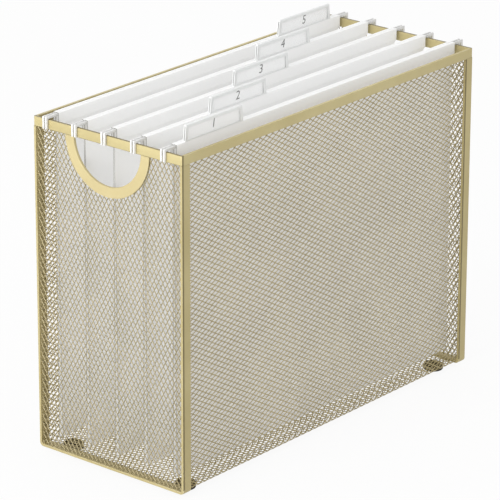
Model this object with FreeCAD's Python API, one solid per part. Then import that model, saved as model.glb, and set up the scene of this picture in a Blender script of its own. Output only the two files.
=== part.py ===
import FreeCAD, Part
import os

os.makedirs("parts", exist_ok=True)

# Desktop organizer for letter-size hanging folders: a flat-bar frame, mesh walls and five folders.
# Millimetres. +X along the folders, +Y from front to back, +Z up.
# The origin is on the table, under the middle of the frame.

# Frame: a top rim, a U of flat bar under each end of it, and four feet
frame_length = 318.0
frame_width = 133.0
frame_height = 242.5
bar_thickness = 2.0
bar_width = 8.0
rim_depth = 7.0
corner_radius = 3.0
rim_corner_radius = 1.0
foot_height = 4.0
foot_diameter = 14.5
foot_edge_radius = 0.8
foot_from_end = 19.0
foot_from_side = 14.8

# Mesh walls, and the half-round hand holes in the ends with their edge trim
mesh_thickness = 0.8
end_mesh_setback = 0.8
mesh_edge_gap = 0.2
wrap_top_gap = 1.0
handle_radius = 30.0
handle_centre_rise = 1.0
trim_width = 7.6
trim_wall = 0.8

# Hanging folders: one sheet, folded at the bottom, with a flat rod in the hem of both halves
folder_count = 5
front_space = 12.5
back_space = 9.3
floor_space = 6.15
sheet_end_gap = 7.0
sheet_thickness = 0.35
opening_at_top = 0.4
opening_at_bottom = 3.0
hem_depth = 14.0
hem_taper = 5.0
crease_gap = 0.3
pocket_depth = 6.3
rod_thickness = 1.2
rod_height = 2.0
rod_clearance = 0.1
hook_play = 4.5
hook_gap = 0.3
rest_gap = 0.4
nose_thickness = 2.0
nose_drop = 6.5
nose_radius = 0.5

# Tabs: a clear sleeve that stands on two tongues, with a card label slid into it
tab_width = 57.0
tab_height = 11.5
tab_flare = 1.2
tab_thickness = 2.0
tab_wall = 0.5
tab_top_wall = 0.9
tab_from_left = 9.25
tab_from_right = 13.0
tab_seat_gap = 0.1
tongue_width = 6.0
tongue_thickness = 0.5
tongue_clearance = 0.1
tongue_tip_gap = 1.3
tongue_from_end = 8.0
label_thickness = 0.3
label_clearance = 0.2
label_inset = 1.5

# Places of the frame that follow from its sizes
half_length = frame_length / 2
half_width = frame_width / 2
frame_bottom = foot_height
strip_top = frame_bottom + bar_thickness
rim_top = frame_bottom + frame_height
rim_bottom = rim_top - rim_depth
wall_y = half_width - bar_thickness
strip_inner_x = half_length - bar_width
handle_centre_z = rim_bottom + handle_centre_rise
trim_radius = handle_radius + trim_width

# Places of the folders; "out" counts from a folder's middle plane, towards its own side
folder_x = hook_play / 2 - hook_gap
folder_length = frame_length - 2 * sheet_end_gap
folder_left = folder_x - folder_length / 2
first_y = mesh_thickness + front_space - wall_y
last_y = wall_y - mesh_thickness - back_space
folder_pitch = (last_y - first_y) / (folder_count - 1)
rod_top = rim_top + rest_gap + rod_height
rod_bottom = rod_top - rod_height
folder_top = rod_top + rod_clearance + sheet_thickness
folder_bottom = frame_bottom + mesh_thickness + floor_space
fold_out = opening_at_bottom / 2 + sheet_thickness
fold_z = folder_bottom + fold_out
crease_out = (opening_at_bottom + sheet_thickness) / 2
crease_z = fold_z + crease_gap + sheet_thickness / 2
rod_out = opening_at_top / 2 + sheet_thickness + rod_clearance + rod_thickness / 2
tongue_slot = tongue_thickness + 2 * tongue_clearance
tab_out = rod_out + rod_thickness / 2 + tongue_slot / 2
tab_pitch = (folder_length - tab_from_left - tab_from_right - tab_width) / (folder_count - 1)
tongue_length = tab_seat_gap + sheet_thickness + pocket_depth - tongue_tip_gap
tiny = 1e-6


def vector(x, y, z):
    return FreeCAD.Vector(x, y, z)


def block(x0, x1, y0, y1, z0, z1):
    return Part.makeBox(x1 - x0, y1 - y0, z1 - z0, vector(x0, y0, z0))


def rod_along_x(x0, x1, y, z, radius):
    return Part.makeCylinder(radius, x1 - x0, vector(x0, y, z), vector(1, 0, 0))


def prism(points, direction):
    """A solid with a straight-sided outline, swept along one direction."""
    outline = Part.makePolygon(points + [points[0]])
    return Part.Face(outline).extrude(direction)


def runs_along(edge, axis):
    """True for a straight edge that lies along an axis."""
    return len(edge.Vertexes) == 2 and abs(abs(edge.tangentAt(0).dot(axis)) - 1) < tiny


def rounded_block(x0, x1, y0, y1, z0, z1, radius, axis):
    """A block whose four edges along one axis are rounded."""
    body = block(x0, x1, y0, y1, z0, z1)
    return body.makeFillet(radius, [e for e in body.Edges if runs_along(e, axis)])


def mirrored(shape):
    return shape.mirror(vector(0, 0, 0), vector(1, 0, 0))


def save(name, shape):
    assert len(shape.Solids) == 1 and shape.isValid(), name
    shape.Solids[0].exportStep(f"parts/{name}.step")


# The top rim is one flat bar on edge, mitred and welded at its four sharp corners
def top_rim():
    outer = rounded_block(-half_length, half_length, -half_width, half_width,
                          rim_bottom, rim_top, rim_corner_radius, vector(0, 0, 1))
    inner = block(bar_thickness - half_length, half_length - bar_thickness,
                  -wall_y, wall_y, rim_bottom, rim_top)
    return outer.cut(inner)


# Each end frame is a flat bar bent to a U: two posts and the strip between them, under the rim
def end_frame():
    above = rim_top + corner_radius
    along = vector(1, 0, 0)
    outer = rounded_block(-half_length, -strip_inner_x, -half_width, half_width,
                          frame_bottom, above, corner_radius, along)
    inner = rounded_block(-half_length, -strip_inner_x, -wall_y, wall_y,
                          strip_top, above + bar_thickness, corner_radius - bar_thickness, along)
    cap = block(-half_length, -strip_inner_x, -half_width, half_width, rim_bottom, above)
    return outer.cut(inner).cut(cap)


# One mesh sheet makes the front, the bottom and the back; the two folds run between the end frames
def mesh_wrap():
    def folded(half_span, low, high):
        along = vector(1, 0, 0)
        above = rim_top + corner_radius
        outer = rounded_block(-half_span, half_span, -wall_y, wall_y,
                              frame_bottom, above, corner_radius, along)
        inner = rounded_block(-half_span, half_span, mesh_thickness - wall_y, wall_y - mesh_thickness,
                              frame_bottom + mesh_thickness, above,
                              corner_radius - mesh_thickness, along)
        slab = block(-half_span, half_span, -half_width, half_width, low, high)
        return outer.cut(inner).common(slab)

    top = rim_top - wrap_top_gap
    middle = folded(strip_inner_x, frame_bottom, top)
    sides = folded(half_length - corner_radius - mesh_edge_gap, strip_top + corner_radius, top)
    return middle.fuse(sides).removeSplitter()


# Each end panel stands in its U frame, with a half circle cut out for the hand
def end_mesh():
    x0 = end_mesh_setback - half_length
    x1 = x0 + mesh_thickness
    panel = block(x0, x1, -wall_y, wall_y, strip_top, rim_bottom)
    corners = [e for e in panel.Edges
               if runs_along(e, vector(1, 0, 0)) and abs(e.CenterOfMass.z - strip_top) < tiny]
    panel = panel.makeFillet(corner_radius - bar_thickness, corners)
    return panel.cut(rod_along_x(x0, x1, 0, handle_centre_z, handle_radius + trim_wall))


# The trim is a half ring of channel, pressed over the cut edge of the end mesh
def handle_trim():
    x0 = -half_length
    mesh_x0 = x0 + end_mesh_setback
    mesh_x1 = mesh_x0 + mesh_thickness
    x1 = mesh_x1 + trim_wall
    ring = rod_along_x(x0, x1, 0, handle_centre_z, trim_radius)
    ring = ring.cut(rod_along_x(x0, x1, 0, handle_centre_z, handle_radius))
    groove = rod_along_x(mesh_x0, mesh_x1, 0, handle_centre_z, trim_radius)
    groove = groove.cut(rod_along_x(mesh_x0, mesh_x1, 0, handle_centre_z, handle_radius + trim_wall))
    below = block(x0, x1, -trim_radius, trim_radius, handle_centre_z - trim_radius, rim_bottom)
    return ring.cut(groove).common(below)


# Round rubber pads are stuck under the bottom mesh near its corners
def foot(x, y):
    pad = Part.makeCylinder(foot_diameter / 2, foot_height, vector(x, y, 0))
    rim = [e for e in pad.Edges if len(e.Vertexes) == 1 and e.CenterOfMass.z < foot_height / 2]
    return pad.makeFillet(foot_edge_radius, rim)


# A folder rod is a flat strip that lies over the rim at both ends, with a nose hanging outside it
def folder_rod(y):
    nose_in = (frame_length + hook_play) / 2
    nose_end = nose_in + nose_thickness
    nose_bottom = rim_top - nose_drop
    right = [(nose_end, rod_top), (nose_end, nose_bottom), (nose_in, nose_bottom), (nose_in, rod_bottom)]
    left = [(-x, z) for x, z in reversed(right)]
    y0 = y - rod_thickness / 2
    rod = prism([vector(folder_x + x, y0, z) for x, z in right + left], vector(0, rod_thickness, 0))
    tips = [e for e in rod.Edges
            if abs(abs(e.CenterOfMass.x - folder_x) - nose_end) < tiny
            and abs(e.CenterOfMass.z - rod_top) < tiny]
    return rod.makeFillet(nose_radius, tips)


# A half of a folder is a wall with the hem round the rod at its top; side is -1 in front, +1 behind
def folder_half(y, side, slot_width, low_z):
    low_in = opening_at_bottom / 2
    wall_in = opening_at_top / 2
    pocket_in = wall_in + sheet_thickness
    pocket_out = rod_out + rod_thickness / 2 + rod_clearance + slot_width
    hem_out = pocket_out + sheet_thickness
    hem_bottom = folder_top - hem_depth
    wall = [(low_in, low_z), (wall_in, hem_bottom), (wall_in, folder_top), (hem_out, folder_top),
            (hem_out, hem_bottom + hem_taper), (pocket_in, hem_bottom), (fold_out, low_z)]
    pocket_top = folder_top - sheet_thickness
    pocket_bottom = pocket_top - pocket_depth
    pocket = [(pocket_in, pocket_bottom), (pocket_in, pocket_top),
              (pocket_out, pocket_top), (pocket_out, pocket_bottom)]
    along = vector(folder_length, 0, 0)
    body = prism([vector(folder_left, y + side * out, z) for out, z in wall], along)
    return body.cut(prism([vector(folder_left, y + side * out, z) for out, z in pocket], along))


# The front half bends on a round crease at its foot; its hem has room and two slits for the tongues
def front_panel(y, tab_x):
    crease = rod_along_x(folder_left, folder_left + folder_length, y - crease_out, crease_z,
                         sheet_thickness / 2)
    panel = folder_half(y, -1, tongue_slot - tongue_clearance, crease_z).fuse(crease)
    slit_half = tongue_width / 2 + tongue_clearance
    slit_y = y - tab_out
    for x in tongue_places(tab_x):
        panel = panel.cut(block(x - slit_half, x + slit_half,
                                slit_y - tongue_slot / 2, slit_y + tongue_slot / 2,
                                folder_top - sheet_thickness, folder_top))
    return panel.removeSplitter()


# The back half carries the round fold at the bottom, up to just under the crease
def back_panel(y):
    x1 = folder_left + folder_length
    fold = rod_along_x(folder_left, x1, y, fold_z, fold_out)
    fold = fold.cut(rod_along_x(folder_left, x1, y, fold_z, opening_at_bottom / 2))
    fold = fold.common(block(folder_left, x1, y - fold_out, y + fold_out, folder_bottom, fold_z))
    return folder_half(y, 1, 0, fold_z).fuse(fold).removeSplitter()


def tongue_places(tab_x):
    offset = tab_width / 2 - tongue_from_end
    return [tab_x - offset, tab_x + offset]


# A tab is a sleeve of clear sheet, open at both ends and a little wider at its foot
def folder_tab(y, tab_x):
    z0 = folder_top + tab_seat_gap
    z1 = z0 + tab_height
    tab_y = y - tab_out
    top_half = tab_width / 2
    foot_half = top_half + tab_flare
    outline = [(-foot_half, z0), (foot_half, z0), (top_half, z1), (-top_half, z1)]
    tab = prism([vector(tab_x + x, tab_y - tab_thickness / 2, z) for x, z in outline],
                vector(0, tab_thickness, 0))
    half_window = tab_thickness / 2 - tab_wall
    tab = tab.cut(block(tab_x - foot_half, tab_x + foot_half, tab_y - half_window, tab_y + half_window,
                        z0 + tab_wall, z1 - tab_top_wall))
    for x in tongue_places(tab_x):
        tab = tab.fuse(block(x - tongue_width / 2, x + tongue_width / 2,
                             tab_y - tongue_thickness / 2, tab_y + tongue_thickness / 2,
                             z0 - tongue_length, z0))
    return tab.removeSplitter()


# A card label fills the sleeve of its tab
def tab_label(y, tab_x):
    z0 = folder_top + tab_seat_gap
    half = tab_width / 2 - label_inset
    label_y = y - tab_out
    return block(tab_x - half, tab_x + half,
                 label_y - label_thickness / 2, label_y + label_thickness / 2,
                 z0 + tab_wall + label_clearance, z0 + tab_height - tab_top_wall - label_clearance)


save("top_rim", top_rim())
save("mesh_wrap", mesh_wrap())
save("end_frame_left", end_frame())
save("end_frame_right", mirrored(end_frame()))
save("end_mesh_left", end_mesh())
save("end_mesh_right", mirrored(end_mesh()))
save("handle_trim_left", handle_trim())
save("handle_trim_right", mirrored(handle_trim()))

foot_x = half_length - foot_from_end
foot_y = half_width - foot_from_side
for name, x, y in (("front_left", -foot_x, -foot_y), ("front_right", foot_x, -foot_y),
                   ("back_left", -foot_x, foot_y), ("back_right", foot_x, foot_y)):
    save(f"foot_{name}", foot(x, y))

for index in range(folder_count):
    name = f"folder_{index + 1}"
    y = first_y + index * folder_pitch
    tab_x = folder_left + tab_from_left + tab_width / 2 + index * tab_pitch
    save(f"{name}_front_rod", folder_rod(y - rod_out))
    save(f"{name}_back_rod", folder_rod(y + rod_out))
    save(f"{name}_front_panel", front_panel(y, tab_x))
    save(f"{name}_back_panel", back_panel(y))
    save(f"{name}_tab", folder_tab(y, tab_x))
    save(f"{name}_label", tab_label(y, tab_x))
    print(f"{name}: y {y:.2f}, tab centre x {tab_x:.2f}")

print(f"rim top {rim_top:.2f}, folder top {folder_top:.2f}, folder bottom {folder_bottom:.2f}")
print(f"crease {crease_out:.2f} in front of a folder's middle, at z {crease_z:.2f}")
print(f"folder length {folder_length:.2f}, tongue length {tongue_length:.2f}, pitch {folder_pitch:.2f}")
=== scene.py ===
import math

import bmesh
import bpy
from mathutils import Matrix, Vector


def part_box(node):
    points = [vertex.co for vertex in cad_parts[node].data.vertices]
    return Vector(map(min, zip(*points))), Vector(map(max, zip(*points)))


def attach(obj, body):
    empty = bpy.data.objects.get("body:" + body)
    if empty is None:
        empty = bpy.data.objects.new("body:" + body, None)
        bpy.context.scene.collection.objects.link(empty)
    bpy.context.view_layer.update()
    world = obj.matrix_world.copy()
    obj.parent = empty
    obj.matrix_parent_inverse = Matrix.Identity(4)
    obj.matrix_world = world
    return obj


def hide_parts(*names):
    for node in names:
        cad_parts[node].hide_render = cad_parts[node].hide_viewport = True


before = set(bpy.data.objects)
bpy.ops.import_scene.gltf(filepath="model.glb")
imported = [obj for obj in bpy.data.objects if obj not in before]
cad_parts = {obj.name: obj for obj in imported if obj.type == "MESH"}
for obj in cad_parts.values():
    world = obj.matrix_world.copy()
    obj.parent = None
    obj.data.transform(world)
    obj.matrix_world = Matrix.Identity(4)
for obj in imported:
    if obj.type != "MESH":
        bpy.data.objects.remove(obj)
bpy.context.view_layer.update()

# The looks of a desktop organizer for hanging folders: a pale gold basket of flat bar and mesh,
# with five white letter-size folders hooked over its end rails, each with a tab and a card label.
# Metres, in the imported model's frame: +X along the folders, +Y from front to back, +Z up.
mm = 0.001


# The top rim: flat steel bar stood on edge, mitred at its four corners and welded to a rectangle.
# Like the rest of the frame it is powder coated in a satin pale gold, drawn paler here as painted
# light; its edges are worn and brightened as a painted highlight, and its end rails carry painted shade.
bar_thickness = 2.0 * mm
bar_edge_radius = 0.3 * mm
bevel_segments = 2
sharp_angle = 40
curve_angle = 30
flat_angle = 0.5
doubled_points = 0.002 * mm


def piece_from(name, shell, smooth_angle=None):
    """Puts a shell into the scene as a piece, with curves shaded smooth up to an angle in degrees."""
    mesh = bpy.data.meshes.new(name)
    shell.to_mesh(mesh)
    shell.free()
    if smooth_angle:
        mesh.shade_smooth()
        mesh.set_sharp_from_angle(angle=math.radians(smooth_angle))
    piece = bpy.data.objects.new(name, mesh)
    bpy.context.scene.collection.objects.link(piece)
    return piece


def fit(piece, material, body, slot, *nodes):
    """Gives a finished piece its material and its body, and hides the CAD nodes that it stands for; slot
    is not used.
    """
    piece.data.materials.clear()
    piece.data.materials.append(material)
    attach(piece, body)
    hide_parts(*nodes)


class Socket:
    """An output socket that takes part in Python arithmetic; each operation adds its node."""

    def __init__(self, graph, link):
        self.graph = graph
        self.link = link

    def math(self, operation, *others):
        values = dict(enumerate((self,) + others))
        return self.graph.node("ShaderNodeMath", {"operation": operation}, values)

    def __add__(self, other):
        return self.math("ADD", other)

    def __sub__(self, other):
        return self.math("SUBTRACT", other)

    def __rsub__(self, other):
        return self * -1.0 + other

    def __mul__(self, other):
        return self.math("MULTIPLY", other)

    def __truediv__(self, other):
        return self.math("DIVIDE", other)

    __radd__ = __add__
    __rmul__ = __mul__


class Graph:
    """A tree of nodes, of a material, of the world or of a shape."""

    def __init__(self, owner):
        if hasattr(owner, "use_nodes"):
            owner.use_nodes = True
            owner.node_tree.nodes.clear()
            self.tree = owner.node_tree
        else:
            self.tree = owner
        self.owner = owner

    def node(self, kind, settings=None, inputs=None, output=0):
        """Adds a node: its settings first, then its inputs, by name or place among those in use."""
        made = self.tree.nodes.new(kind)
        for setting, value in (settings or {}).items():
            setattr(made, setting, value)
        for key, value in (inputs or {}).items():
            socket = self.pick(made.inputs, key)
            for each in value if isinstance(value, list) else [value]:
                if isinstance(each, Socket):
                    self.tree.links.new(each.link, socket)
                else:
                    socket.default_value = each
        return Socket(self, self.pick(made.outputs, output)) if made.outputs else None

    @staticmethod
    def pick(sockets, key):
        usable = [socket for socket in sockets if socket.enabled]
        if isinstance(key, int):
            return usable[key]
        return next(socket for socket in usable if socket.name == key)

    def place(self):
        return self.node("ShaderNodeTexCoord", output="Object")

    def axis(self, place, letter):
        return self.node("ShaderNodeSeparateXYZ", {}, {"Vector": place}, output=letter)

    def mark(self, name):
        """The value that the faces of a piece carry under a name."""
        return self.node("ShaderNodeAttribute", {"attribute_name": name}, output="Fac")

    def noise(self, place, scale, detail=2.0):
        return self.node("ShaderNodeTexNoise", {}, {"Vector": place, "Scale": scale, "Detail": detail})

    def mix(self, factor, first, second):
        return self.node("ShaderNodeMix", {"data_type": "RGBA"},
                         {"Factor": factor, "A": first, "B": second})

    def between(self, value, low, high):
        """0 where value is at low, 1 where it is at high, smooth in between."""
        return self.node("ShaderNodeMapRange", {"interpolation_type": "SMOOTHSTEP"},
                         {"Value": value, "From Min": low, "From Max": high})

    def bump(self, height, strength, distance):
        return self.node("ShaderNodeBump", {},
                         {"Height": height, "Strength": strength, "Distance": distance})

    def surface(self, **sockets):
        """The main shader, with underscores in the socket names for spaces."""
        named = {name.replace("_", " "): value for name, value in sockets.items()}
        shader = self.node("ShaderNodeBsdfPrincipled", {}, named)
        self.node("ShaderNodeOutputMaterial", {}, {"Surface": shader})
        return self.owner


# A rubbed gold for the edges, partly wear and partly a painted highlight.
rub_and_highlight_gold = (0.66, 0.60, 0.40, 1.0)
# A dark brown for painted shade lines along arrises and gaps.
painted_shade_colour = (0.13, 0.10, 0.035, 1.0)


def satin_gold(name, pale, deep, metallic, shade_mask=None):
    """Powder coat: a fine orange peel, soft drifts of tone, edges worn and brightened as a painted
    highlight, painted shade where marked.
    """
    paint = Graph(bpy.data.materials.new(name))
    place = paint.place()
    drift = paint.between(paint.noise(place, 26.0), 0.35, 0.65)
    peel = paint.noise(place, 1300.0, 1.0)
    speck = paint.noise(place, 420.0, 3.0)
    edge = paint.mark("edge")
    rub_and_highlight = edge.math("MAXIMUM", 0.0) * paint.between(paint.noise(place, 90.0, 4.0), 0.38, 0.62)
    # Painted shade: from the given mask, otherwise on faces marked -1.
    painted_shade = shade_mask(paint, place) if shade_mask else paint.between(edge * -1.0, 0.2, 0.8)
    coat = paint.mix(drift * 0.6 + speck * 0.4, deep, pale)
    coat = paint.mix(rub_and_highlight * 0.55, coat, rub_and_highlight_gold)
    return paint.surface(
        Base_Color=paint.mix(painted_shade * 0.85, coat, painted_shade_colour),
        Metallic=metallic,
        Roughness=0.36 + speck * 0.16 - rub_and_highlight * 0.10,
        Normal=paint.bump(peel, 0.22, 0.08 * mm))


def softened_copy(name, node, radius):
    """A copy of a CAD node with its doubled points merged and its sharp edges rounded and marked."""
    shell = bmesh.new()
    shell.from_mesh(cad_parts[node].data)
    edge = shell.faces.layers.float.new("edge")
    bmesh.ops.remove_doubles(shell, verts=shell.verts, dist=doubled_points)
    bmesh.ops.dissolve_limit(shell, angle_limit=math.radians(flat_angle), verts=shell.verts,
                             edges=shell.edges)
    sharp = [line for line in shell.edges if line.calc_face_angle(0.0) > math.radians(sharp_angle)]
    rounded = bmesh.ops.bevel(shell, geom=sharp, offset=radius, segments=bevel_segments, profile=0.5,
                              affect="EDGES")
    for face in rounded["faces"]:
        face[edge] = 1.0
    return piece_from(name, shell, curve_angle)


rim_low, rim_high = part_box("top_rim")
rim_inner_x = rim_high.x - bar_thickness
shade_width = 1.5 * mm
shade_depth = 0.3 * mm
shade_fade = 0.2 * mm


def rail_wear(paint, place):
    """Painted shade: 1 along the top of the end rails, where the hooks lie, under them where they meet
    the mesh, and on the front left arris.
    """
    x = paint.axis(place, "X")
    y = paint.axis(place, "Y")
    z = paint.axis(place, "Z")
    over = paint.between(z, rim_high.z - shade_fade, rim_high.z - 0.5 * shade_fade)
    under = paint.between(z, rim_low.z + shade_depth + shade_fade, rim_low.z + shade_depth)
    on_rail = paint.between(x.math("ABSOLUTE"), rim_inner_x, rim_inner_x + shade_fade)
    on_arris = paint.between(x, rim_low.x + shade_width + shade_fade, rim_low.x + shade_width)
    on_front = paint.between(y, rim_low.y + 2 * shade_fade, rim_low.y + shade_fade)
    return on_rail * (over + under * 0.7).math("MINIMUM", 1.0) + on_arris * on_front * (1 - over)


frame_metallic = 0.25
# The rim's gold is the frame's powder coat drawn paler, as painted light.
rim_lit_paint = satin_gold("rim_lit_paint", (0.57, 0.49, 0.25, 1.0), (0.50, 0.42, 0.20, 1.0), frame_metallic,
                       rail_wear)
rim = softened_copy("rim", "top_rim", bar_edge_radius)
fit(rim, rim_lit_paint, "frame", "frame_paint", "top_rim")


# The two end frames: each is a wider flat bar bent to a U, two posts with the bottom strip between
# them, welded up under the rim. Their gold is the rim's coat drawn darker, as painted shade, and a
# painted shade line runs down the front arris on the left of each post.
# The same powder coat as the rim, drawn darker here as painted shade.
frame_paint = satin_gold("frame_paint", (0.52, 0.44, 0.22, 1.0), (0.45, 0.375, 0.175, 1.0),
                         frame_metallic)
edge_steps = 3
bar_middle = bar_thickness / 2
bar_bend_radius = 2.0 * mm
bend_steps = 8
bend_run_in = 0.6 * mm
bend_angle = 14


def left_of(direction):
    return Vector((-direction.y, direction.x))


def rounded_line(corners, steps, closed=True, run_in=0.0):
    """Points and directions along a flat line whose corners (a, b, radius) are rounded by arcs."""
    places = [Vector(corner[:2]) for corner in corners]
    last = len(places) - 1
    line = []
    for index, place in enumerate(places):
        radius = corners[index][2]
        before = (place - places[index - 1]).normalized()
        after = (places[(index + 1) % len(places)] - place).normalized()
        if not closed and index == 0:
            before = after
        if not closed and index == last:
            after = before
        turn = math.atan2(left_of(before).dot(after), before.dot(after))
        if radius == 0 or turn == 0:
            line.append((place, (before + after).normalized()))
            continue
        reach = radius * math.tan(abs(turn) / 2)
        inward = math.copysign(radius, turn)
        centre = place - before * reach + left_of(before) * inward
        if run_in:
            line.append((place - before * (reach + run_in), before))
        for step in range(steps + 1):
            direction = Matrix.Rotation(turn * step / steps, 2) @ before
            line.append((centre - left_of(direction) * inward, direction))
        if run_in:
            line.append((place + after * (reach + run_in), after))
    return line


def points_of(line):
    return [point for point, direction in line]


def box_corners(half_a, half_b, radius):
    """The corners of an upright rectangle round the origin, anticlockwise."""
    return [(half_a, -half_b, radius), (half_a, half_b, radius),
            (-half_a, half_b, radius), (-half_a, -half_b, radius)]


def loft(rings, edge_width=0.0):
    """A closed shell through rings of points; strips narrower than edge_width are marked as edges."""
    shell = bmesh.new()
    edge = shell.faces.layers.float.new("edge")
    count = len(rings[0])
    rows = [[shell.verts.new(point) for point in ring] for ring in rings]
    for near, far in zip(rows, rows[1:]):
        for i in range(count):
            j = (i + 1) % count
            face = shell.faces.new((near[i], near[j], far[j], far[i]))
            face[edge] = float((near[i].co - near[j].co).length < edge_width)
    shell.faces.new(rows[0])
    shell.faces.new(rows[-1])
    bmesh.ops.recalc_face_normals(shell, faces=shell.faces)
    return shell


for side in ("left", "right"):
    low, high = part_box(f"end_frame_{side}")
    bar_half_width = (high.x - low.x) / 2
    bar_x = (low.x + high.x) / 2
    post_y = high.y - bar_middle
    strip_z = low.z + bar_middle
    u_path = rounded_line([(-post_y, high.z, 0.0), (-post_y, strip_z, bar_bend_radius),
                           (post_y, strip_z, bar_bend_radius), (post_y, high.z, 0.0)],
                          bend_steps, closed=False, run_in=bend_run_in)
    shade_from = shade_width - bar_half_width
    u_corners = box_corners(bar_middle, bar_half_width, bar_edge_radius)
    u_corners.insert(1, (bar_middle, shade_from, 0.0))
    u_section = points_of(rounded_line(u_corners, edge_steps))
    u_rings = []
    for point, direction in u_path:
        outward = -left_of(direction)
        u_rings.append([Vector((bar_x + w, point.x + outward.x * u, point.y + outward.y * u))
                        for u, w in u_section])
    u_shell = loft(u_rings, bar_edge_radius)
    edge = u_shell.faces.layers.float["edge"]
    for face in u_shell.faces:
        middle = face.calc_center_median()
        # Front faces on the left of each post are marked -1, for a painted shade line.
        on_post = middle.z > low.z + 2 * bar_thickness
        if face.normal.y < -0.5 and middle.x < bar_x + shade_from and on_post:
            face[edge] = -1.0
    end_frame = piece_from(f"end_frame_{side}_bar", u_shell, bend_angle)
    fit(end_frame, frame_paint, "frame", "frame_paint", f"end_frame_{side}")


# The mesh: expanded steel sheet with diamond openings, slit and pulled from one piece and rolled
# nearly flat, so the strands of one direction still lean. It is coated with the frame, in gold,
# which is drawn darker on the thin strands as painted shade.
long_pitch = 6.65 * mm
short_pitch = 3.84 * mm
strand_width = 0.62 * mm
strand_thickness = 0.3 * mm
strand_lean = 0.18 * mm
mesh_thickness = 0.8 * mm
merge_reach = 0.01 * mm
mesh_metallic = 0.3
# The frame's gold drawn darker, as painted shade on the strands.
mesh_paint = satin_gold("mesh_paint", (0.43, 0.355, 0.18, 1.0), (0.35, 0.285, 0.135, 1.0),
                        mesh_metallic)


def diamond_net_tree():
    """One ring of strand round a diamond opening, repeated on a staggered grid and merged to a net."""
    tree = bpy.data.node_groups.new("diamond_net", "GeometryNodeTree")
    for name, kind in (("Long Pitch", "NodeSocketFloat"), ("Short Pitch", "NodeSocketFloat"),
                       ("Strand Width", "NodeSocketFloat"),
                       ("Lean Up", "NodeSocketFloat"), ("Lean Along", "NodeSocketFloat"),
                       ("Columns", "NodeSocketInt"), ("Rows", "NodeSocketInt"),
                       ("Paint", "NodeSocketMaterial")):
        tree.interface.new_socket(name, in_out="INPUT", socket_type=kind)
    tree.interface.new_socket("Net", in_out="OUTPUT", socket_type="NodeSocketGeometry")
    net = Graph(tree)

    def given(name):
        return net.node("NodeGroupInput", output=name)

    half_long = given("Long Pitch") / 2
    half_short = given("Short Pitch") / 2
    slant = (half_long * half_long + half_short * half_short).math("SQRT")
    to_strand = half_long * half_short / slant
    shrink = 1 - given("Strand Width") / 2 / to_strand
    diamond = net.node("GeometryNodeMeshCircle", {"fill_type": "NGON"}, {"Vertices": 4, "Radius": 1.0})
    stretch = net.node("ShaderNodeCombineXYZ", {}, {"X": half_long, "Y": half_short, "Z": 1.0})
    diamond = net.node("GeometryNodeTransform", {}, {"Geometry": diamond, "Scale": stretch})
    pulled = net.tree.nodes.new("GeometryNodeExtrudeMesh")
    net.tree.links.new(diamond.link, pulled.inputs["Mesh"])
    pulled.inputs["Offset Scale"].default_value = 0.0
    ring = Socket(net, pulled.outputs["Mesh"])
    opening = Socket(net, pulled.outputs["Top"])
    ring = net.node("GeometryNodeScaleElements", {},
                    {"Geometry": ring, "Selection": opening, "Scale": shrink})
    corner = net.node("GeometryNodeInputPosition")
    along = net.axis(corner, "X")
    upward = net.axis(corner, "Y")
    lean = net.node("ShaderNodeCombineXYZ", {}, {
        "Z": (given("Lean Up") * upward / half_short + given("Lean Along") * along / half_long) / shrink})
    ring = net.node("GeometryNodeSetPosition", {},
                    {"Geometry": ring, "Selection": opening, "Offset": lean})
    ring = net.node("GeometryNodeDeleteGeometry", {"domain": "FACE"},
                    {"Geometry": ring, "Selection": opening})
    grid = net.node("GeometryNodeMeshGrid", {}, {
        "Size X": given("Long Pitch") * (given("Columns") - 1),
        "Size Y": given("Short Pitch") * (given("Rows") - 1),
        "Vertices X": given("Columns"), "Vertices Y": given("Rows")})
    shift = net.node("ShaderNodeCombineXYZ", {}, {"X": half_long, "Y": half_short})
    between_rows = net.node("GeometryNodeTransform", {}, {"Geometry": grid, "Translation": shift})
    places = net.node("GeometryNodeJoinGeometry", {}, {"Geometry": [grid, between_rows]})
    rings = net.node("GeometryNodeInstanceOnPoints", {}, {"Points": places, "Instance": ring})
    sheet = net.node("GeometryNodeRealizeInstances", {}, {"Geometry": rings})
    sheet = net.node("GeometryNodeMergeByDistance", {}, {"Geometry": sheet, "Distance": merge_reach})
    sheet = net.node("GeometryNodeSetMaterial", {}, {"Geometry": sheet, "Material": given("Paint")})
    net.node("NodeGroupOutput", {}, {"Net": sheet})
    return tree


net_tree = diamond_net_tree()


def plain_mesh(piece):
    """Turns a piece with its modifiers into a plain mesh without them."""
    depsgraph = bpy.context.evaluated_depsgraph_get()
    made = bpy.data.meshes.new_from_object(piece.evaluated_get(depsgraph))
    piece.modifiers.clear()
    piece.data = made


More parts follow.
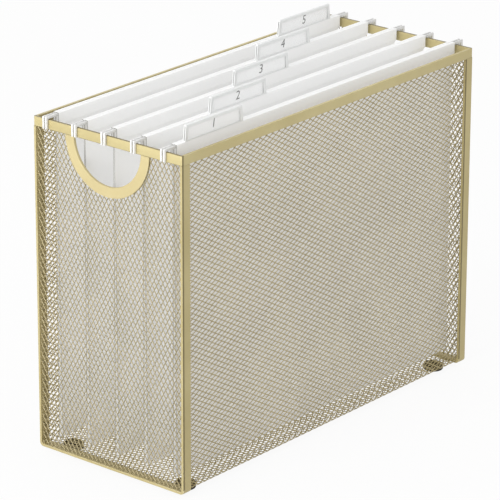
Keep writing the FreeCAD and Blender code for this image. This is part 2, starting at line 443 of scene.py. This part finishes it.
def flat_net(name, u0, u1, v0, v1, lean_up, lean_along, paint):
    """A flat net in the plane of u, its long way, and v, cut straight to a rectangle."""
    piece = bpy.data.objects.new(name, bpy.data.meshes.new(name))
    bpy.context.scene.collection.objects.link(piece)
    weave = piece.modifiers.new("net", "NODES")
    weave.node_group = net_tree
    middle_u = round((u0 + u1) / 2 / long_pitch) * long_pitch
    middle_v = round((v0 + v1) / 2 / short_pitch) * short_pitch
    values = {"Long Pitch": long_pitch, "Short Pitch": short_pitch, "Strand Width": strand_width,
              "Lean Up": lean_up, "Lean Along": lean_along, "Paint": paint,
              "Columns": 2 * math.ceil((u1 - u0) / 2 / long_pitch) + 3,
              "Rows": 2 * math.ceil((v1 - v0) / 2 / short_pitch) + 3}
    for item in net_tree.interface.items_tree:
        if item.name in values:
            weave[item.identifier] = values[item.name]
    plain_mesh(piece)
    net = bmesh.new()
    net.from_mesh(piece.data)
    bmesh.ops.translate(net, verts=net.verts, vec=(middle_u, middle_v, 0))
    for place, outward in (((u0, 0, 0), (-1, 0, 0)), ((u1, 0, 0), (1, 0, 0)),
                           ((0, v0, 0), (0, -1, 0)), ((0, v1, 0), (0, 1, 0))):
        everything = net.verts[:] + net.edges[:] + net.faces[:]
        bmesh.ops.bisect_plane(net, geom=everything, dist=merge_reach, plane_co=place,
                               plane_no=outward, clear_outer=True)
    return piece, net


def hang_net(piece, net, onto, paint, node):
    """Moves a flat net onto its surface, gives its strands their thickness and fits it."""
    for vert in net.verts:
        vert.co = onto(*vert.co)
    net.to_mesh(piece.data)
    net.free()
    wall = piece.modifiers.new("strands", "SOLIDIFY")
    wall.thickness = strand_thickness
    wall.offset = 0.0
    plain_mesh(piece)
    fit(piece, paint, "frame", "mesh_paint", node)


# One sheet makes the front, the bottom and the back. It is folded round the bottom between the end
# frames, and is spot welded to the inside of the rim and the posts.
wrap_low, wrap_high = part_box("mesh_wrap")
fold_radius = 3.0 * mm
wrap_skin = mesh_thickness / 2
fold_middle = fold_radius - wrap_skin
fold_length = fold_middle * math.pi / 2
upright = wrap_high.z - wrap_low.z - fold_radius
floor_run = wrap_high.y - wrap_low.y - 2 * fold_radius
strip_half_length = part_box("end_frame_right")[0].x
notch_z = 9.0 * mm
side_run = wrap_high.z - notch_z
whole_run = 2 * upright + 2 * fold_length + floor_run


def onto_wrap(u, v, rise):
    """The place on the folded sheet that is v along it from its front top edge, and rise proud of it."""
    near = min(v, whole_run - v)
    side = -1 if v < whole_run / 2 else 1
    reach = fold_middle + rise
    if near < upright:
        out, z = reach, wrap_high.z - near
    elif near < upright + fold_length:
        angle = (near - upright) / fold_middle
        out, z = reach * math.cos(angle), wrap_low.z + fold_radius - reach * math.sin(angle)
    else:
        out, z = upright + fold_length - near, wrap_low.z + fold_radius - reach
    return Vector((u, side * (wrap_high.y - fold_radius + out), z))


for name, half_span, start, end in (
        ("mesh_front", wrap_high.x, 0.0, side_run),
        ("mesh_floor", strip_half_length, side_run, whole_run - side_run),
        ("mesh_back", wrap_high.x, whole_run - side_run, whole_run)):
    piece, net = flat_net(name, -half_span, half_span, start, end, -strand_lean, strand_lean,
                          mesh_paint)
    hang_net(piece, net, onto_wrap, mesh_paint, "mesh_wrap")


# The end panels stand inside the U frames, their diamonds on end. Their half-round hand hole is cut
# larger than the opening of its trim, which hides the cut strands. Their gold is darker: painted shade.
hole_low, hole_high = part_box("handle_trim_left")
trim_radius = (hole_high.y - hole_low.y) / 2
hole_centre_z = hole_low.z + trim_radius
hidden_cut = 4.3 * mm
end_lean = 0.23 * mm
end_mesh_shaded_paint = satin_gold("end_mesh_shaded_paint", (0.37, 0.31, 0.175, 1.0), (0.295, 0.25, 0.13, 1.0),
                            mesh_metallic)
for side, sign in (("left", -1), ("right", 1)):
    low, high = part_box(f"end_mesh_{side}")
    middle_x = (low.x + high.x) / 2
    piece, net = flat_net(f"mesh_end_{side}", low.z, high.z, low.y, high.y, end_lean, end_lean,
                          end_mesh_shaded_paint)
    centre = Vector((hole_centre_z, 0, 0))
    hole = [face for face in net.faces
            if (face.calc_center_median() - centre).length < trim_radius - hidden_cut]
    bmesh.ops.delete(net, geom=hole, context="FACES")

    def onto_end(u, v, rise):
        return Vector((middle_x + sign * rise, v, u))

    hang_net(piece, net, onto_end, end_mesh_shaded_paint, f"end_mesh_{side}")


# The trim of each hand hole: a half ring of thin steel channel pressed over the cut edge of the
# mesh, with rolled edges, so that no strand end meets a finger.
trim_wall = 0.8 * mm
trim_depth = 7.6 * mm
trim_steps = 56
trim_bend = 0.6 * mm
trim_lip = 0.3 * mm
trim_paint = satin_gold("trim_paint", (0.60, 0.51, 0.27, 1.0), (0.53, 0.445, 0.225, 1.0),
                        frame_metallic)
for side, sign in (("left", -1), ("right", 1)):
    low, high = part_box(f"handle_trim_{side}")
    outside_x = high.x if sign > 0 else low.x
    inside_x = low.x if sign > 0 else high.x
    inner = trim_radius - trim_depth
    channel = rounded_line([(outside_x, trim_radius, trim_lip), (outside_x, inner, trim_bend),
                            (inside_x, inner, trim_bend), (inside_x, trim_radius, trim_lip),
                            (inside_x + sign * trim_wall, trim_radius, trim_lip),
                            (inside_x + sign * trim_wall, inner + trim_wall, 0.0),
                            (outside_x - sign * trim_wall, inner + trim_wall, 0.0),
                            (outside_x - sign * trim_wall, trim_radius, trim_lip)], edge_steps)
    trim_rings = []
    for step in range(trim_steps + 1):
        ring = []
        for x, radius in points_of(channel):
            start = math.asin((hole_centre_z - high.z) / radius)
            angle = start + (math.pi - 2 * start) * step / trim_steps
            ring.append(Vector((x, -radius * math.cos(angle), hole_centre_z - radius * math.sin(angle))))
        trim_rings.append(ring)
    trim = piece_from(f"hand_hole_trim_{side}", loft(trim_rings, trim_lip), bend_angle)
    fit(trim, trim_paint, "frame", "trim_paint", f"handle_trim_{side}")


# Four feet: moulded dark rubber pads, stuck under the mesh near its corners. Each has a soft lower
# edge and a shallow ring underneath, where the mould left its suction groove.
foot_points = 40
foot_steps = 4
foot_curve_angle = 35
foot_edge = 0.8 * mm
foot_top_edge = 0.3 * mm
foot_lip = 0.2 * mm
groove_bend = 0.15 * mm
foot_middle = 0.68 * mm
groove_outer = 4.6 * mm
groove_inner = 3.4 * mm
groove_depth = 0.5 * mm


def dark_rubber():
    """Matt rubber, a little dusty, with a fine cast grain."""
    rubber = Graph(bpy.data.materials.new("foot_rubber"))
    place = rubber.place()
    dust = rubber.between(rubber.noise(place, 260.0, 4.0), 0.45, 0.75)
    grain = rubber.noise(place, 2200.0, 2.0)
    return rubber.surface(
        Base_Color=rubber.mix(dust * 0.5, (0.030, 0.024, 0.016, 1.0), (0.085, 0.075, 0.055, 1.0)),
        Roughness=0.68 + grain * 0.25,
        Normal=rubber.bump(grain, 0.35, 0.06 * mm))


foot_rubber = dark_rubber()
for node in ("foot_front_left", "foot_front_right", "foot_back_left", "foot_back_right"):
    low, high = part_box(node)
    radius = (high.x - low.x) / 2
    profile = rounded_line([(foot_middle, low.z, 0.0), (groove_inner, low.z, foot_lip),
                            (groove_inner + foot_lip, low.z + groove_depth, groove_bend),
                            (groove_outer - foot_lip, low.z + groove_depth, groove_bend),
                            (groove_outer, low.z, foot_lip), (radius, low.z, foot_edge),
                            (radius, high.z, foot_top_edge), (groove_inner, high.z, 0.0)],
                           foot_steps, closed=False)
    foot_rings = []
    for point in points_of(profile):
        foot_rings.append([Vector(((low.x + high.x) / 2 + point.x * math.cos(turn),
                                   (low.y + high.y) / 2 + point.x * math.sin(turn), point.y))
                           for turn in (2 * math.pi * i / foot_points for i in range(foot_points))])
    foot = piece_from(f"rubber_{node}", loft(foot_rings), foot_curve_angle)
    fit(foot, foot_rubber, "frame", "foot_rubber", node)


# The folder rods: white enamelled steel strips, two to a folder, that lie over the end rails and
# turn down outside them in a short nose. Their edges are rolled, and the ends rub on the rails.
rod_edge_radius = 0.2 * mm
rub_start = 152.5 * mm
rub_full = 158.0 * mm
folder_count = 5
folders = range(1, folder_count + 1)


def white_enamel():
    """A hard white coat with faint waves, rubbed grey where the hooks ride on the rails."""
    enamel = Graph(bpy.data.materials.new("rod_enamel"))
    place = enamel.place()
    along = enamel.axis(place, "X")
    at_rail = enamel.between(along.math("ABSOLUTE"), rub_start, rub_full)
    wave = enamel.noise(place, 60.0)
    scuff = at_rail * enamel.between(enamel.noise(place, 900.0, 4.0), 0.50, 0.70)
    coat = enamel.mix(wave, (0.76, 0.76, 0.75, 1.0), (0.82, 0.82, 0.81, 1.0))
    return enamel.surface(
        Base_Color=enamel.mix(scuff * 0.25, coat, (0.52, 0.51, 0.48, 1.0)),
        Roughness=0.30 + wave * 0.12 + scuff * 0.25,
        Normal=enamel.bump(enamel.noise(place, 700.0), 0.10, 0.05 * mm))


rod_enamel = white_enamel()
for k in folders:
    for place, body in (("front", f"folder_{k}_front_half"), ("back", f"folder_{k}")):
        rod = softened_copy(f"folder_{k}_{place}_hanger", f"folder_{k}_{place}_rod", rod_edge_radius)
        fit(rod, rod_enamel, body, "rod_white", f"folder_{k}_{place}_rod")


# The folders: each is one sheet of white card, folded at the bottom. The top of each half is turned
# over its rod and welded to the wall below it. The front half bends on a scored line near its foot,
# and the top of its hem has two slits that the tab stands in.
sheet_thickness = 0.35 * mm
wall_in = 0.2 * mm
foot_in = 1.5 * mm
hem_depth = 14.0 * mm
hem_shoulder = 8.2 * mm
hem_sweep = 3.0 * mm
weld_top = 11.6 * mm
tab_out = 2.2 * mm
slit_half_width = 0.35 * mm
slit_half_length = 3.1 * mm
slit_margin = 0.035 * mm
tongue_spacing = 41.0 * mm
sheet_steps = 4
# The folder card's painted glow, light that no lamp gives.
card_painted_glow = 0.14


def folder_card():
    """White card with a painted glow for the light it lets through; its cut ends, marked by an attribute,
    are painted dark grey as shade.
    """
    card = Graph(bpy.data.materials.new("folder_card"))
    place = card.place()
    cloud = card.noise(place, 18.0, 3.0)
    fibre = card.noise(place, 1900.0, 4.0)
    fleck = card.between(card.noise(place, 800.0, 5.0), 0.66, 0.74)
    # The cut ends are painted dark grey as shade.
    cut_end = card.mark("cut_end")
    white = card.mix(cloud, (0.80, 0.80, 0.795, 1.0), (0.85, 0.85, 0.845, 1.0))
    white = card.mix(fleck * 0.2, white, (0.76, 0.75, 0.72, 1.0))
    relief = card.noise(place, 7.0, 1.0) * 0.9 + fibre * 0.02
    return card.surface(
        Base_Color=card.mix(cut_end, white, (0.22, 0.215, 0.20, 1.0)),
        Roughness=0.50 + fibre * 0.20,
        Emission_Color=card.mix(cut_end, (1.0, 1.0, 1.0, 1.0), (0.0, 0.0, 0.0, 1.0)),
        Emission_Strength=card_painted_glow,
        Normal=card.bump(relief, 0.2, 2.0 * mm))


def hollow_loft(outer_rings, inner_rings, skipped=None):
    """A closed shell between an outer and an inner skin; skipped(number, middle) leaves faces out."""
    shell = bmesh.new()
    frost = shell.faces.layers.float.new("frost")
    skins = []
    for rings in (outer_rings, inner_rings):
        rows = [[shell.verts.new(point) for point in ring] for ring in rings]
        skins.append(rows)
        for number, (near, far) in enumerate(zip(rows, rows[1:])):
            for i in range(len(near)):
                j = (i + 1) % len(near)
                middle = (near[i].co + near[j].co + far[i].co + far[j].co) / 4
                if not (skipped and skipped(number, middle)):
                    shell.faces.new((near[i], near[j], far[j], far[i]))[frost] = 1.0
    for end in (0, -1):
        around = []
        for rows in skins:
            row = rows[end]
            around += [shell.edges.get((row[i - 1], row[i])) for i in range(len(row))]
        cap = bmesh.ops.triangle_fill(shell, edges=around, use_beauty=True)
        for part in cap["geom"]:
            if isinstance(part, bmesh.types.BMFace):
                part[frost] = 1.0
    return shell


def half_sections(hem_out, top, foot):
    """The outside and the pocket of a half folder, as (out, z) from its middle plane."""
    slit_in = tab_out - slit_half_width
    pocket_in = wall_in + sheet_thickness
    pocket_out = hem_out - sheet_thickness
    flap_out = pocket_in + sheet_thickness
    outside = [(wall_in, top - hem_depth, 0.0), (wall_in, top, sheet_thickness), (slit_in, top, 0.0),
               (hem_out, top, sheet_thickness), (hem_out, top - hem_shoulder, hem_sweep),
               (flap_out, top - weld_top, hem_sweep), (flap_out, top - hem_depth, 0.0),
               (pocket_in, top - hem_depth, 0.0)]
    roof = top - sheet_thickness
    pocket = [(pocket_in, roof, 0.0), (slit_in, roof, 0.0), (pocket_out, roof, 0.0),
              (pocket_out, top - hem_shoulder, hem_sweep), (pocket_in, top - weld_top, 0.0)]
    return (points_of(rounded_line(outside + foot, sheet_steps)),
            points_of(rounded_line(pocket, sheet_steps)))


def half_round(middle_out, z, radius, start, end):
    """Points of an arc below a point, from one angle to another, as corners without rounding."""
    steps = 3 * sheet_steps
    turns = [start + (end - start) * step / steps for step in range(steps + 1)]
    return [(middle_out + radius * math.cos(turn), z + radius * math.sin(turn), 0.0) for turn in turns]


def folder_half(name, node, side, tab_x, hem_out, foot):
    """Draws a half folder along x; side is -1 in front, where the hem's top has two slits."""
    low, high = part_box(node)
    middle_y = high.y + wall_in if side < 0 else high.y - hem_out
    outside, pocket = half_sections(hem_out, high.z, foot)
    slits = []
    if side < 0:
        slits = [(tab_x + s * tongue_spacing / 2 - slit_half_length,
                  tab_x + s * tongue_spacing / 2 + slit_half_length) for s in (-1, 1)]
    stations = [low.x] + [x for slit in slits for x in slit] + [high.x]

    def over_slit(number, middle):
        out = side * (middle.y - middle_y)
        above = middle.z > high.z - sheet_thickness - slit_margin
        return number % 2 == 1 and above and abs(out - tab_out) < slit_half_width - slit_margin

    skins = [[[Vector((x, middle_y + side * out, z)) for out, z in loop] for x in stations]
             for loop in (outside, pocket)]
    shell = hollow_loft(skins[0], skins[1], over_slit)
    for x0, x1 in slits:
        around = [(x, middle_y + side * (tab_out + w), z)
                  for x, w in ((x0, -slit_half_width), (x1, -slit_half_width),
                               (x1, slit_half_width), (x0, slit_half_width))
                  for z in (high.z, high.z - sheet_thickness)]
        corners = [min(shell.verts, key=lambda vert: (vert.co - Vector(corner)).length)
                   for corner in around]
        for i in (0, 2, 4, 6):
            j = (i + 2) % 8
            shell.faces.new((corners[i], corners[i + 1], corners[j + 1], corners[j]))
    bmesh.ops.recalc_face_normals(shell, faces=shell.faces)
    # Faces across the ends are marked for painted shade.
    cut_end = shell.faces.layers.float.new("cut_end")
    for face in shell.faces:
        face[cut_end] = float(abs(face.normal.x) > 0.9)
    return piece_from(name, shell, curve_angle)


card_white = folder_card()
tab_middles = {}
for k in folders:
    tab_low, tab_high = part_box(f"folder_{k}_tab")
    tab_middles[k] = (tab_low.x + tab_high.x) / 2
    low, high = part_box(f"folder_{k}_front_panel")
    crease_out = foot_in + sheet_thickness / 2
    crease_z = low.z + sheet_thickness / 2
    front_foot = half_round(crease_out, crease_z, sheet_thickness / 2, 0.0, -math.pi)
    front = folder_half(f"folder_{k}_front_sheet", f"folder_{k}_front_panel", -1, tab_middles[k],
                        high.y + wall_in - low.y, front_foot)
    fit(front, card_white, f"folder_{k}_front_half", "folder_sheet", f"folder_{k}_front_panel")
    back_low, back_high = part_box(f"folder_{k}_back_panel")
    fold_z = back_low.z + foot_in + sheet_thickness
    back_foot = half_round(0.0, fold_z, foot_in + sheet_thickness, 0.0, -math.pi)
    back_foot += half_round(0.0, fold_z, foot_in, -math.pi, 0.0)
    back = folder_half(f"folder_{k}_back_sheet", f"folder_{k}_back_panel", 1, tab_middles[k],
                       back_high.y - high.y - wall_in, back_foot)
    fit(back, card_white, f"folder_{k}", "folder_sheet", f"folder_{k}_back_panel")


# The tabs: a sleeve of clear rigid plastic, open at both ends. Its top and its side rails are left
# frosted by the mould and its two windows are polished. It stands on two flat tongues in the slits.
tab_height = 11.5 * mm
tab_flare = 1.2 * mm
tab_wall = 0.5 * mm
tab_top_wall = 0.9 * mm
rail_width = 2.4 * mm
window_foot = 1.0 * mm
window_head = 2.2 * mm
window_recess = 0.1 * mm
window_bevel = 0.15 * mm
window_margin = 0.1 * mm
tab_foot_radius = 0.15 * mm
tab_top_radius = 0.5 * mm
tongue_half_width = 3.0 * mm
tongue_half_thickness = 0.25 * mm
tongue_bite = 0.05 * mm


def clear_plastic():
    """Plastic that is frosted and nearly opaque on the rails, clear and glossy in the windows."""
    plastic = Graph(bpy.data.materials.new("tab_plastic"))
    place = plastic.place()
    frost = plastic.mark("frost")
    cloud = plastic.noise(place, 240.0, 3.0)
    scratch = plastic.between(plastic.noise(place, 1500.0, 4.0), 0.60, 0.72)
    return plastic.surface(
        Base_Color=plastic.mix(cloud, (0.86, 0.87, 0.87, 1.0), (0.93, 0.94, 0.93, 1.0)),
        Roughness=0.12 + frost * 0.30 + scratch * 0.12,
        Alpha=0.10 + frost * 0.80 + scratch * 0.06,
        Normal=plastic.bump(cloud, 0.15, 0.1 * mm))


tab_plastic = clear_plastic()
for k in folders:
    low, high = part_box(f"folder_{k}_tab")
    middle = Vector((tab_middles[k], (low.y + high.y) / 2, high.z - tab_height))
    foot_half = (high.x - low.x) / 2
    half_thickness = (high.y - low.y) / 2
    half_cavity = half_thickness - tab_wall
    outer = points_of(rounded_line([(half_thickness, 0.0, tab_foot_radius),
                                    (half_thickness, window_foot, 0.0),
                                    (half_thickness, window_foot + window_bevel, 0.0),
                                    (half_thickness, tab_height - window_head - window_bevel, 0.0),
                                    (half_thickness, tab_height - window_head, 0.0),
                                    (half_thickness, tab_height, tab_top_radius),
                                    (-half_thickness, tab_height, tab_top_radius),
                                    (-half_thickness, tab_height - window_head, 0.0),
                                    (-half_thickness, tab_height - window_head - window_bevel, 0.0),
                                    (-half_thickness, window_foot + window_bevel, 0.0),
                                    (-half_thickness, window_foot, 0.0),
                                    (-half_thickness, 0.0, tab_foot_radius)], edge_steps))
    cavity_top = tab_height - tab_top_wall
    cavity = [Vector(point) for point in ((half_cavity, tab_wall), (half_cavity, cavity_top),
                                          (-half_cavity, cavity_top), (-half_cavity, tab_wall))]

    def sleeve_ring(section, side, inset, recess):
        """The section where it crosses the sleeve, inset from one slanting end of it."""
        ring = []
        for y, z in section:
            in_window = window_foot + window_margin < z < tab_height - window_head - window_margin
            if in_window and abs(y) > half_cavity + tongue_bite:
                y -= math.copysign(recess, y)
            x = side * (foot_half - inset - tab_flare * z / tab_height)
            ring.append(middle + Vector((x, y, z)))
        return ring

    window_side = rail_width + window_bevel
    places = [(-1, 0.0, 0.0), (-1, rail_width, 0.0), (-1, window_side, window_recess),
              (1, window_side, window_recess), (1, rail_width, 0.0), (1, 0.0, 0.0)]
    sleeve = hollow_loft([sleeve_ring(outer, *place) for place in places],
                         [sleeve_ring(cavity, *place) for place in places])
    frost = sleeve.faces.layers.float["frost"]
    for face in sleeve.faces:
        centre = face.calc_center_median() - middle
        beside = abs(centre.x) < foot_half - rail_width - tab_flare
        if beside and abs(centre.y) > half_cavity - tongue_bite and window_foot < centre.z:
            face[frost] = float(centre.z > tab_height - window_head)
    for side in (-1, 1):
        tongue_x = middle.x + side * tongue_spacing / 2
        bmesh.ops.create_cube(sleeve, size=1.0, matrix=Matrix.LocRotScale(
            Vector((tongue_x, middle.y, (low.z + middle.z + tongue_bite) / 2)), None,
            Vector((2 * tongue_half_width, 2 * tongue_half_thickness, middle.z + tongue_bite - low.z))))
    for face in sleeve.faces:
        if face.calc_center_median().z < middle.z + tongue_bite:
            face[frost] = 1.0
    bmesh.ops.recalc_face_normals(sleeve, faces=sleeve.faces)
    tab = piece_from(f"folder_{k}_tab_sleeve", sleeve, curve_angle)
    fit(tab, tab_plastic, f"folder_{k}_tab", "tab_clear", f"folder_{k}_tab")


# The labels: a strip of card slid into each tab, cut with rounded corners. Each is numbered by hand
# stamp in charcoal ink, from 1 in front to 5 at the back.
label_corner = 0.8 * mm
label_inset = 0.02 * mm
ink_relief = 0.02 * mm
number_height = 9.0 * mm
number_slant = 0.16
number_steps = 3
number_merge = 0.001 * mm
# The labels' painted glow, light that no lamp gives.
label_painted_glow = 0.14


def label_stock(name, pale, deep):
    """Card or ink with a fine fibrous grain, a slightly uneven tone and a painted glow in its pale
    colour.
    """
    stock = Graph(bpy.data.materials.new(name))
    place = stock.place()
    tone = stock.noise(place, 90.0, 4.0)
    fibre = stock.noise(place, 2400.0, 3.0)
    return stock.surface(
        Base_Color=stock.mix(tone, deep, pale),
        Roughness=0.62 + fibre * 0.25,
        Emission_Color=pale,
        Emission_Strength=label_painted_glow,
        Normal=stock.bump(fibre, 0.25, 0.05 * mm))


label_card = label_stock("label_card", (0.95, 0.95, 0.95, 1.0), (0.90, 0.90, 0.90, 1.0))
label_ink = label_stock("label_ink", (0.060, 0.058, 0.055, 1.0), (0.022, 0.021, 0.020, 1.0))
for k in folders:
    low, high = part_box(f"folder_{k}_label")
    centre = (low + high) / 2
    half = (high - low) / 2
    corners = box_corners(half.x - label_inset, half.z - label_inset, label_corner)
    outline = points_of(rounded_line(corners, edge_steps))
    face_y = low.y + label_inset + ink_relief
    card_rings = [[Vector((centre.x + x, y, centre.z + z)) for x, z in outline]
                  for y in (face_y, high.y - label_inset)]
    card = piece_from(f"folder_{k}_card", loft(card_rings), curve_angle)
    fit(card, label_card, f"folder_{k}_label", "label_card", f"folder_{k}_label")
    lettering = bpy.data.curves.new(f"folder_{k}_number", "FONT")
    lettering.body = str(k)
    lettering.size = number_height
    lettering.shear = number_slant
    lettering.align_x = "CENTER"
    lettering.align_y = "CENTER"
    lettering.extrude = ink_relief / 2
    lettering.resolution_u = number_steps
    number = bpy.data.objects.new(f"folder_{k}_number", lettering)
    bpy.context.scene.collection.objects.link(number)
    depsgraph = bpy.context.evaluated_depsgraph_get()
    flat = bpy.data.meshes.new_from_object(number.evaluated_get(depsgraph))
    bpy.data.objects.remove(number)
    stamp = bmesh.new()
    stamp.from_mesh(flat)
    bmesh.ops.remove_doubles(stamp, verts=stamp.verts, dist=number_merge)
    stood_up = Matrix.Translation((centre.x, face_y - ink_relief / 2, centre.z)) @ Matrix.Rotation(
        math.radians(90.0), 4, "X")
    bmesh.ops.transform(stamp, matrix=stood_up, verts=stamp.verts)
    number = piece_from(f"folder_{k}_ink_number", stamp)
    fit(number, label_ink, f"folder_{k}_label", "label_card", f"folder_{k}_label")


# The studio: a pale floor, a large soft lamp on the left, one overhead and weak ones in front and
# behind. The floor and the world look white, and the floor keeps a faint shadow.
floor_white = 0.92


def straight_sight(graph):
    """1 for what the camera sees, also in a reflection or through plastic, and 0 for plain light."""
    seen = graph.node("ShaderNodeLightPath", output="Is Camera Ray")
    mirrored = graph.node("ShaderNodeLightPath", output="Is Glossy Ray")
    passed = graph.node("ShaderNodeLightPath", output="Is Transmission Ray")
    return seen + mirrored + passed


def studio_floor():
    floor = Graph(bpy.data.materials.new("studio_floor"))
    matt = floor.node("ShaderNodeBsdfDiffuse", {}, {"Color": (0.86, 0.86, 0.86, 1.0)})
    glow = floor.node("ShaderNodeEmission", {}, {"Color": (1.0, 1.0, 1.0, 1.0), "Strength": 1.0})
    share = straight_sight(floor) * floor_white
    shader = floor.node("ShaderNodeMixShader", {}, {0: share, 1: matt, 2: glow})
    floor.node("ShaderNodeOutputMaterial", {}, {"Surface": shader})
    return floor.owner


floor_half = 6.0
floor_mesh = bmesh.new()
bmesh.ops.create_grid(floor_mesh, x_segments=1, y_segments=1, size=floor_half)
floor = piece_from("floor", floor_mesh)
floor.data.materials.append(studio_floor())

world = Graph(bpy.data.worlds.new("studio_world"))
ambient = 0.70
strength = ambient + straight_sight(world) * (1.0 - ambient)
light = world.node("ShaderNodeBackground", {}, {"Color": (1.0, 1.0, 1.0, 1.0), "Strength": strength})
world.node("ShaderNodeOutputWorld", {}, {"Surface": light})
bpy.context.scene.world = world.owner

aim = Vector((0.0, 0.0, 0.13))
for name, place, size, power in (
        ("left_softbox", (-2.6, -0.1, 0.9), 1.6, 55.0),
        ("top_softbox", (0.1, 0.2, 2.6), 1.8, 4.0),
        ("front_fill", (0.9, -2.6, 1.2), 1.8, 4.0),
        ("back_fill", (1.6, 2.2, 1.4), 1.8, 6.0)):
    lamp_data = bpy.data.lights.new(name, "AREA")
    lamp_data.size = size
    lamp_data.energy = power
    lamp = bpy.data.objects.new(name, lamp_data)
    bpy.context.scene.collection.objects.link(lamp)
    lamp.location = place
    lamp.rotation_mode = "QUATERNION"
    lamp.rotation_quaternion = (aim - Vector(place)).to_track_quat("-Z", "Y")
    lamp.visible_camera = False
bpy.context.scene.view_settings.view_transform = "Standard"


# The camera stands off the front left corner and looks down at it through a long lens. Its place,
# its turn and the lens were fitted to the corners of the frame in the photograph.
camera_data = bpy.data.cameras.new("photo_camera")
camera_data.sensor_fit = "HORIZONTAL"
camera_data.sensor_width = 36.0
camera_data.lens = 252.43
camera_data.clip_start = 0.1
camera_data.clip_end = 40.0
camera = bpy.data.objects.new("photo_camera", camera_data)
bpy.context.scene.collection.objects.link(camera)
heading = -50.09
looks_down = 20.34
roll = 0.16
camera_turn = Matrix.Rotation(math.radians(heading), 4, "Z")
camera_tilt = Matrix.Rotation(math.radians(90.0 - looks_down), 4, "X")
camera_roll = Matrix.Rotation(math.radians(roll), 4, "Z")
camera_place = Matrix.Translation((-1.7927, -1.4910, 0.9850))
camera.matrix_world = camera_place @ camera_turn @ camera_tilt @ camera_roll
bpy.context.scene.camera = camera
